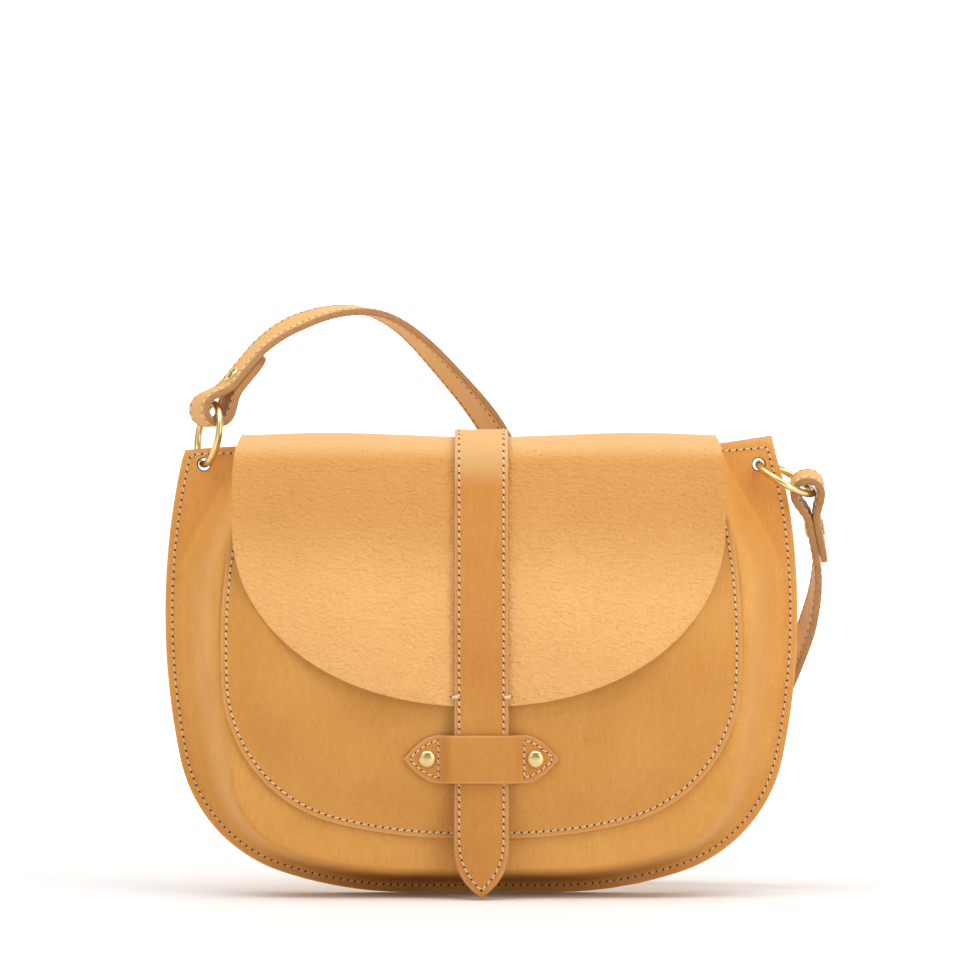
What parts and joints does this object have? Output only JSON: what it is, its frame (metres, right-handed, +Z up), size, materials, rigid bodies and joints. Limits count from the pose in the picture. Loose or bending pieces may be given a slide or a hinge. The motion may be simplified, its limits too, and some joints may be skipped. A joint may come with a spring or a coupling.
{
  "type": "saddle handbag",
  "caption": "Tan leather saddle handbag: moulded body, patch pocket, folded flap with a closure strap tucked under a riveted keeper, and a twisted shoulder strap on ring hangers.",
  "frame": {"origin": "middle of the base edge, in the seam plane between the back and front panels", "axes": "+X to the right as seen from the front, +Y to the back, +Z up; the flap and keeper face -Y"},
  "size_m": [0.296, 0.1426, 0.2622],
  "materials": {
    "smooth_leather": "smooth vegetable-tanned, satin",
    "pebbled_leather": "fine pebbled grain, satin",
    "lining_leather": "raw flesh side, matte",
    "brass": "polished"
  },
  "bodies": {
    "bag": {"back_panel": "smooth_leather", "front_panel": "smooth_leather", "mouth_facing": "lining_leather", "front_pocket": "smooth_leather", "keeper": "smooth_leather", "keeper_rivet_caps": "brass", "keeper_rivet_studs": "brass", "flap_rear": "pebbled_leather", "closure_rear": "smooth_leather"},
    "flap_top": {"flap_top": "pebbled_leather", "closure_top": "smooth_leather"},
    "flap_front": {"flap_front": "pebbled_leather", "closure_front": "smooth_leather", "closure_tail": "smooth_leather", "closure_tail_lining": "lining_leather"},
    "strap": {"shoulder_strap": "smooth_leather", "strap_rivet_caps": "brass", "strap_rivet_studs": "brass"},
    "ring_left": {"ring_left": "brass"},
    "ring_right": {"ring_right": "brass"}
  },
  "joints": [
    {"name": "flap_lift", "type": "hinge", "parent": "bag", "child": "flap_top", "pos_m": [0, 0.00497, 0.20327], "axis": [-1, 0, 0], "range_deg": [0, 45], "deforming": ["closure_tail", "closure_tail_lining"]},
    {"name": "flap_unfold", "type": "hinge", "parent": "flap_top", "child": "flap_front", "pos_m": [0, -0.04791, 0.20151], "axis": [-1, 0, 0], "range_deg": [0, 90]},
    {"name": "strap_swing", "type": "hinge", "parent": "bag", "child": "strap", "pos_m": [0, 0, 0.19], "axis": [1, 0, 0], "range_deg": [0, 8]},
    {"name": "ring_left_turn", "type": "hinge", "parent": "strap", "child": "ring_left", "pos_m": [-0.12123, 0.0008, 0.20343], "axis": [-0.9158, -0.37, 0.1564], "continuous": true},
    {"name": "ring_right_turn", "type": "hinge", "parent": "strap", "child": "ring_right", "pos_m": [0.13523, 0.00095, 0.18374], "axis": [0.4645, -0.2074, 0.8609], "continuous": true}
  ],
  "couplings": [
    {"joint": "flap_unfold", "follows": "flap_lift", "ratio": 2}
  ]
}
